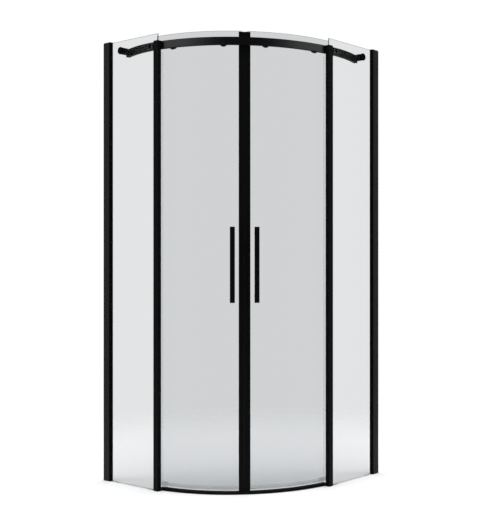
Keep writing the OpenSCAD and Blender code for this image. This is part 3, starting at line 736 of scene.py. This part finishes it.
section = [
    (sill_in, 0), (sill_out, 0), (sill_out, top - SILL["chamfer"]),
    (sill_out - SILL["chamfer"], top), (DOOR_MID + half, top),
    (DOOR_MID + half, top - SILL["groove_depth"]),
    (DOOR_MID - half, top - SILL["groove_depth"]), (DOOR_MID - half, top), (sill_in, top),
]
sill = rolled(section, sill_end, 2 * SEAM - sill_end, ROUND["sill"])
fit("threshold_sill", sill, [fine_black], "frame", ["threshold"])
fit(
    "threshold_blocks", smooth_copy("threshold_end_blocks", ROUND["sill_block"]), [abs_black],
    "frame", ["threshold_end_blocks"],
)

# Door glass.
# Toughened glass bent to the arc, 6 mm, drilled for the two rollers and the two handle
# bolts before it is bent. It looks a shade greyer than the flat panes.
door_glass = float_glass("toughened_bent_door_glass", "#d0d2d4")
DOOR = {"rear": TANGENT + 2.5, "foot": 20, "roller_hole": 7, "handle_hole": 5}
EDGE = {
    "back": 3.05, "width": 25, "depth": 15, "pocket": 14, "magnet": 3, "seat": 1,
    "slot": (-4.5, 3.9), "magnet_half": 4.5, "magnet_sunk": 2,
}
edge_tail = EDGE["back"] + EDGE["width"] - EDGE["magnet"]
door_front = SEAM - math.degrees(
    math.asin((edge_tail - EDGE["pocket"] + EDGE["seat"]) / DOOR_MID)
)
ROLLERS = {"front": SEAM - 9.2, "rear": SEAM - 33.2}
WHEEL = {"radius": 9.3, "play": 0.2, "eccentric": 2}
wheel_z = rail_low + RAIL["wall"] + WHEEL["play"] + WHEEL["radius"]
roller_z = wheel_z + WHEEL["eccentric"]
BAR = {"length": 326, "width": 21, "thick": 10, "round": 2.5, "z": 987, "off": 52.5}
FINGER_GAP = 34
GRIP_SPAN = 270
bar_in = DOOR_OUT + FINGER_GAP
bar_angle = SEAM - math.degrees(math.asin(BAR["off"] / (bar_in + BAR["thick"] / 2)))
GRIPS = (BAR["z"] - GRIP_SPAN / 2, BAR["z"] + GRIP_SPAN / 2)


def outwards(radius, angle, z):
    """Places a turned piece so that its foot is at a point of the arc, pointing outwards."""
    turn = Matrix.Rotation(math.radians(angle), 4, "Z") @ Matrix.Rotation(math.pi / 2, 4, "Y")
    return Matrix.Translation(on_arc(radius, angle, z)) @ turn


for side in SIDES:
    section = [
        (DOOR_IN, DOOR["foot"]), (DOOR_OUT, DOOR["foot"]), (DOOR_OUT, CHANNEL_TOP),
        (DOOR_IN, CHANNEL_TOP),
    ]
    glass = rolled(section, DOOR["rear"], door_front, ROUND["arris"], 0.75)
    drill = GLASS + 2
    holes = [
        disc(DOOR["roller_hole"], drill, outwards(DOOR_IN - 1, a, roller_z))
        for a in ROLLERS.values()
    ]
    holes += [
        disc(DOOR["handle_hole"], drill, outwards(DOOR_IN - 1, bar_angle, z)) for z in GRIPS
    ]
    glass = cut(glass, holes)
    for face in glass.faces:
        out = (face.calc_center_median() - ARC * MM).xy.normalized()
        face.material_index = 0 if abs(face.normal.xy.dot(out)) > SQUARELY else 1
    if side == "right":
        mirrored(glass)
    fit(
        f"{side}_door_glass", glass, [door_glass, glass_edge], f"{side}_door",
        [f"door_glass_{side}"],
    )

# Front edge profiles and magnetic strips.
# A straight extruded profile is bonded over the front edge of each door and holds a strip
# of magnetic rubber, which pulls the doors shut.
edge_low, edge_high = (v.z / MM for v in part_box("edge_profile_left"))
for side in SIDES:
    rear, depth = DOOR_MID - EDGE["depth"] / 2, EDGE["depth"]
    inner, outer = (DOOR_MID + reach for reach in EDGE["slot"])
    face, half = EDGE["back"], EDGE["magnet_half"]
    sunk, deep = face + EDGE["magnet_sunk"], edge_tail - EDGE["pocket"]
    outline = [
        (rear, edge_tail), (inner, edge_tail), (inner, deep), (outer, deep),
        (outer, edge_tail), (rear + depth, edge_tail), (rear + depth, face),
        (DOOR_MID + half, face), (DOOR_MID + half, sunk), (DOOR_MID - half, sunk),
        (DOOR_MID - half, face), (rear, face),
    ]
    turn = Matrix.Rotation(math.radians(SEAM), 3, "Z")
    corners = [(ARC + turn @ Vector((r, -b, edge_low))) * MM for r, b in outline]
    profile = soften(drawn(corners, (0, 0, (edge_high - edge_low) * MM)), ROUND["edge"])
    if side == "right":
        mirrored(profile)
    fit(
        f"{side}_front_edge_profile", profile, [fine_black], f"{side}_door",
        [f"edge_profile_{side}"],
    )
ferrite = rubber("ferrite_magnet_rubber", "#050505")
dress(ferrite, "magnet_strip_left", "magnet_strip_right")

# Clear seals.
# Extruded soft PVC clips: one under each door, whose fin throws water back inside, one on
# its rear edge, and a lip in each post that closes the gap to the sliding glass. Soft PVC is
# clear and slightly milky. Its index is set low, like that of the panes.


def clear_plastic(name, tint, roughness, ior, clarity):
    """Clear plastic with a faint flow pattern in its gloss."""
    material, tree, out = new_material(name)
    place = add(tree, "ShaderNodeTexCoord", {}).outputs["Object"]
    cloud = add(
        tree, "ShaderNodeTexNoise", {"Scale": 1 / (FLOW_GRAIN * MM), "Detail": 1.0},
        [("Vector", place)],
    ).outputs["Fac"]
    gloss = add(
        tree, "ShaderNodeMapRange",
        {"To Min": 0.7 * roughness, "To Max": 1.3 * roughness}, [("Value", cloud)],
    ).outputs["Result"]
    surface = add(
        tree, "ShaderNodeBsdfPrincipled",
        {"Base Color": linear(tint), "IOR": ior, "Transmission Weight": clarity},
        [("Roughness", gloss)],
    )
    clear = add(tree, "ShaderNodeBsdfTransparent", {"Color": linear(tint)})
    shadow = add(tree, "ShaderNodeLightPath", {}).outputs["Is Shadow Ray"]
    mix = add(tree, "ShaderNodeMixShader", {}, [("Fac", shadow)])
    tree.links.new(surface.outputs["BSDF"], mix.inputs[1])
    tree.links.new(clear.outputs["BSDF"], mix.inputs[2])
    tree.links.new(mix.outputs["Shader"], out.inputs["Surface"])
    return material


clear_pvc = clear_plastic("clear_soft_pvc", "#f3f5f5", 0.08, 1.2, 0.97)
SEAL = {"wall": 1.2, "grip": 12, "gap": 0.15, "fin_foot": 11, "apart": 0.2}
drip_start = DOOR["rear"] + math.degrees(SEAL["grip"] / DOOR_MID) + SEAL["apart"]
drip_end = SEAM - math.degrees(math.asin((EDGE["back"] + EDGE["width"]) / DOOR_MID))
for side in SIDES:
    foot, w, g = DOOR["foot"], SEAL["wall"], SEAL["gap"]
    outer, inner = DOOR_OUT + w, DOOR_IN - w
    section = [
        (inner, SEAL["fin_foot"]), (DOOR_IN + w, SEAL["fin_foot"]), (DOOR_IN + w, foot - 2 * w),
        (outer, foot - 2 * w), (outer, foot + SEAL["grip"]), (DOOR_OUT + g, foot + SEAL["grip"]),
        (DOOR_OUT + g, foot - g), (DOOR_IN - g, foot - g), (DOOR_IN - g, foot + SEAL["grip"]),
        (inner, foot + SEAL["grip"]),
    ]
    seal = rolled(section, drip_start, drip_end, ROUND["seal"])
    if side == "right":
        mirrored(seal)
    fit(
        f"{side}_drip_seal", seal, [clear_pvc], f"{side}_door",
        [f"drip_seal_{side}"],
    )
dress(clear_pvc, "rear_seal_left", "rear_seal_right", "post_lip_left", "post_lip_right")

# Lower door guides and setting pads.
# The guides are two moulded walls at each end of the sill, rounded at the top, between which
# the foot of the door runs. They and the pads under the panes are clear polycarbonate.
polycarbonate = clear_plastic("clear_polycarbonate", "#f5f7f7", 0.05, 1.2, 0.98)
GUIDE = {"gap": 5, "wall": 5, "height": 24}
guide_end = TANGENT + math.degrees(math.asin((POST["front"] - SIDE / 2 - ARC.x) / DOOR_MID))
walls = []
for flip in (False, True):
    for near in (-GUIDE["gap"] - GUIDE["wall"], GUIDE["gap"]):
        a, b = DOOR_MID + near, DOOR_MID + near + GUIDE["wall"]
        high = top + GUIDE["height"]
        section = [(a, top), (b, top), (b, high), (a, high)]
        wall = rolled(section, sill_end, guide_end, ROUND["guide"], 0.5)
        walls.append(mirrored(wall) if flip else wall)
fit(
    "lower_door_guides", joined(walls), [polycarbonate], "frame",
    ["door_guides"],
)
dress(polycarbonate, "setting_pads")

# Handles.
# A flat aluminium bar stands on two round posts outside each door. Bolts with domed inner
# buttons pass through the glass and pull the posts against it.
GRIP = {"radius": 7, "rim": 0.6}
BUTTON = {"height": 6, "gap": 0.3, "bolt": 3, "reach": 44}
# The button as heights and radii.
BUTTON_DOME = [(0, 0), (0, 3.2), (0.25, 4.6), (0.9, 5.7), (2, 6.3), (3, 6.5), (6, 6.5)]
for side in SIDES:
    thick = BAR["thick"]
    bar = bmesh.new()
    size = Matrix.Diagonal((thick * MM, BAR["width"] * MM, BAR["length"] * MM, 1))
    bmesh.ops.create_cube(bar, size=1, matrix=size)
    upright = [e for e in bar.edges if abs(e.verts[0].co.z - e.verts[1].co.z) > MM]
    bmesh.ops.bevel(
        bar, geom=upright, offset=BAR["round"] * MM, offset_type="OFFSET", segments=5,
        profile=0.5, affect="EDGES", clamp_overlap=True, material=-1,
    )
    soften(bar, ROUND["handle"], segments=3, sharp=50)
    turn = Matrix.Rotation(math.radians(bar_angle), 4, "Z")
    middle = Matrix.Translation(on_arc(bar_in + thick / 2, bar_angle, BAR["z"])) @ turn
    bmesh.ops.transform(bar, matrix=middle, verts=bar.verts)
    posts, bolts = [], []
    r, rim = GRIP["radius"], GRIP["rim"]
    high, thin, reach = BUTTON["height"], BUTTON["bolt"], BUTTON["reach"]
    for z in GRIPS:
        outline = [(0, 0), (0, r - rim), (rim, r), (FINGER_GAP, r), (FINGER_GAP, 0)]
        posts.append(turned(outline, outwards(DOOR_OUT, bar_angle, z)))
        bolt = BUTTON_DOME + [(high, thin), (reach, thin), (reach, 0)]
        start = DOOR_IN - BUTTON["gap"] - high
        bolts.append(turned(bolt, outwards(start, bar_angle, z)))
    shapes = {"handle_bar": bar, "handle_posts": joined(posts), "handle_bolts": joined(bolts)}
    for node, shape in shapes.items():
        if side == "right":
            mirrored(shape)
        fit(
            f"{side}_{node.replace('handle', 'door_handle')}", shape, [fine_black],
            f"{side}_door", [f"{node}_{side}"],
        )

# Rollers and shoes.
# Each roller has an eccentric acetal body outside the glass, with a boss through it, and a
# clamping cap inside. Turning the body by its hexagon raises or lowers the door.
acetal = moulded("black_moulded_acetal", "#121212", 0.38)
# The inner cap's dome as heights and insets from its radius.
ROLLER_DOME = [(0, 3), (0.6, 1.4), (1.8, 0.3), (3, 0)]
for side in SIDES:
    bodies, caps = [], []
    for angle in ROLLERS.values():
        r, h, boss = ROLLER["radius"], ROLLER["body"], ROLLER["boss"]
        behind = GLASS + ROLLER["bow"]
        foot, rim = ROLLER["foot_rim"], ROLLER["rim"]
        outline = [(-behind, 0), (-behind, boss), (0, boss), (0, r - foot), (foot, r)]
        outline += [(h - rim, r), (h, r - rim), (h, 0)]
        body = turned(outline, outwards(DOOR_OUT, angle, roller_z), LARGE)
        axle_at = outwards(DOOR_OUT + ROLLER["axle_room"], angle, wheel_z)
        bodies.append(cut(body, [disc(ROLLER["axle"], h, axle_at)]))
        c, r = ROLLER["cap"], ROLLER["cap_radius"]
        outline = [(0, 0)] + [(up, r - inset) for up, inset in ROLLER_DOME]
        outline += [(c, r), (c, 0)]
        inner = DOOR_IN - ROLLER["bow"] - c
        cap = turned(outline, outwards(inner, angle, roller_z), LARGE)
        key_at = outwards(inner - 0.5, angle, roller_z)
        key = disc(ROLLER["socket"], ROLLER["socket_depth"], key_at, HEXAGON)
        caps.append(cut(cap, [key]))
    shapes = {"roller_bodies": joined(bodies), "roller_caps": joined(caps)}
    for node, shape in shapes.items():
        if side == "right":
            mirrored(shape)
        fit(
            f"{side}_{node}_set", shape, [acetal], f"{side}_door",
            [f"{node}_{side}"],
        )
bright_steel = steel("bright_stainless_steel", "#b9b8b4", 0.24)
dress(bright_steel, "roller_axles_left", "roller_axles_right")
dress(acetal, "guide_shoe_left", "guide_shoe_right")

# Wheels.
# Turned nylon wheels that spin on the steel axles inside the rail. Natural nylon is an
# off-white, waxy plastic.
nylon = moulded("natural_nylon", "#d8d6cb", 0.4)
dress(
    nylon, "front_wheel_left", "rear_wheel_left", "front_wheel_right", "rear_wheel_right"
)

# Floor.
# A pale matt floor that takes the shadow and fades out into the white surroundings. It lies
# a little below the feet. Its sizes are in metres, but for that drop in mm.
FLOOR_COLOUR = "#fafafa"
FLOOR = {"radius": 2.5, "fade_from": 1.0, "fade_to": 2.4, "drop": 0.2}
material, tree, out = new_material("pale_matt_floor")
place = add(tree, "ShaderNodeTexCoord", {}).outputs["Object"]
reach = add(tree, "ShaderNodeVectorMath", {"operation": "LENGTH"}, [(0, place)])
fade = add(
    tree, "ShaderNodeMapRange",
    {
        "From Min": FLOOR["fade_from"], "From Max": FLOOR["fade_to"],
        "interpolation_type": "SMOOTHSTEP",
    },
    [("Value", reach.outputs["Value"])],
)
matt = add(tree, "ShaderNodeBsdfDiffuse", {"Color": linear(FLOOR_COLOUR)})
clear = add(tree, "ShaderNodeBsdfTransparent", {})
mix = add(tree, "ShaderNodeMixShader", {}, [("Fac", fade.outputs["Result"])])
tree.links.new(matt.outputs["BSDF"], mix.inputs[1])
tree.links.new(clear.outputs["BSDF"], mix.inputs[2])
tree.links.new(mix.outputs["Shader"], out.inputs["Surface"])
ground = bmesh.new()
bmesh.ops.create_circle(ground, cap_ends=True, radius=FLOOR["radius"], segments=96)
bmesh.ops.translate(ground, vec=(0, 0, -FLOOR["drop"] * MM), verts=ground.verts)
floor_mesh = bpy.data.meshes.new("studio_floor")
ground.to_mesh(floor_mesh)
ground.free()
floor_mesh.materials.append(material)
floor = bpy.data.objects.new("studio_floor", floor_mesh)
bpy.context.scene.collection.objects.link(floor)

# Surroundings.
# A plain white background and three large soft lamps. The lamps themselves show in no
# reflection. What is mirrored is a studio that is white to the left and right, black behind
# the camera and dim behind the corner, as the photo's top rail shows it. The two sides are
# told apart by the cosine of the angle from the camera's side, and each fades between two
# values of it.
SOFT_LIGHT = 0.85
BLACK_SIDE = {"From Min": 0.57, "From Max": 0.93, "To Min": 1, "To Max": 0}
DIM_SIDE = {"From Min": -0.25, "From Max": 0.15, "To Min": 0.1, "To Max": 1}
world = bpy.data.worlds.new("white_studio")
bpy.context.scene.world = world
world.use_nodes = True
tree = world.node_tree
tree.nodes.clear()
path = add(tree, "ShaderNodeLightPath", {})
direct = add(
    tree, "ShaderNodeMath", {"operation": "MAXIMUM"},
    [(0, path.outputs["Is Camera Ray"]), (1, path.outputs["Is Transmission Ray"])],
)
plain = add(
    tree, "ShaderNodeMapRange", {"To Min": SOFT_LIGHT, "To Max": 1.0},
    [("Value", direct.outputs[0])],
)
heading = add(tree, "ShaderNodeTexCoord", {}).outputs["Generated"]
ahead = add(tree, "ShaderNodeVectorMath", {"operation": "DOT_PRODUCT"}, [(0, heading)])
ahead.inputs[1].default_value = (math.sqrt(0.5), -math.sqrt(0.5), 0)
front, back = (
    add(
        tree, "ShaderNodeMapRange", {**fall, "interpolation_type": "SMOOTHSTEP"},
        [("Value", ahead.outputs["Value"])],
    ).outputs["Result"]
    for fall in (BLACK_SIDE, DIM_SIDE)
)
studio = add(tree, "ShaderNodeMath", {"operation": "MULTIPLY"}, [(0, front), (1, back)])
strength = add(
    tree, "ShaderNodeMapRange", {},
    [
        ("Value", path.outputs["Glossy Depth"]), ("To Min", plain.outputs["Result"]),
        ("To Max", studio.outputs[0]),
    ],
)
sky = add(
    tree, "ShaderNodeBackground", {"Color": (1, 1, 1, 1)},
    [("Strength", strength.outputs["Result"])],
)
out = add(tree, "ShaderNodeOutputWorld", {}, [("Surface", sky.outputs["Background"])])

# Each lamp's place, the point it aims at, its width in metres and its power in watts.
LAMPS = {
    "overhead_softbox": ((0.6, -0.6, 4.2), (0, 0, 1.0), 2.6, 60),
    "left_softbox": ((-2.6, -3.4, 2.2), (0, -0.2, 1.0), 2.0, 45),
    "right_softbox": ((3.4, 2.6, 2.2), (0.2, 0, 1.0), 2.0, 45),
}
for name, (stand, aim, width, watts) in LAMPS.items():
    lamp = bpy.data.lights.new(name, "AREA")
    lamp.shape = "SQUARE"
    lamp.size = width
    lamp.energy = watts
    holder = bpy.data.objects.new(name, lamp)
    holder.location = stand
    holder.visible_glossy = False
    holder.visible_transmission = False
    holder.rotation_euler = (Vector(aim) - Vector(stand)).to_track_quat("-Z", "Y").to_euler()
    bpy.context.scene.collection.objects.link(holder)

# Camera.
# Level, at the place that was fitted to the photo's edges; the shift is the part of the
# photo's off-centre framing that keeps other views whole.
# All but the place and the heading is in pixels of the photo.
FRAME = 522
FOCAL = 982.93
CENTRE = (350, 262.799)
PICTURE_MIDDLE = 244.5
CAMERA_AT = (3.20611, -3.30831, 0.99563)
HEADING = 127.9074
camera = bpy.data.cameras.new("photo_camera")
camera.sensor_width = 36
camera.lens = FOCAL * camera.sensor_width / FRAME
camera.shift_x = (PICTURE_MIDDLE - CENTRE[0]) / FRAME
camera.shift_y = (CENTRE[1] - FRAME / 2) / FRAME
holder = bpy.data.objects.new("photo_camera", camera)
holder.location = CAMERA_AT
holder.rotation_euler = (math.pi / 2, 0, math.radians(HEADING - 90))
bpy.context.scene.collection.objects.link(holder)
bpy.context.scene.camera = holder
bpy.context.scene.view_settings.view_transform = "Standard"
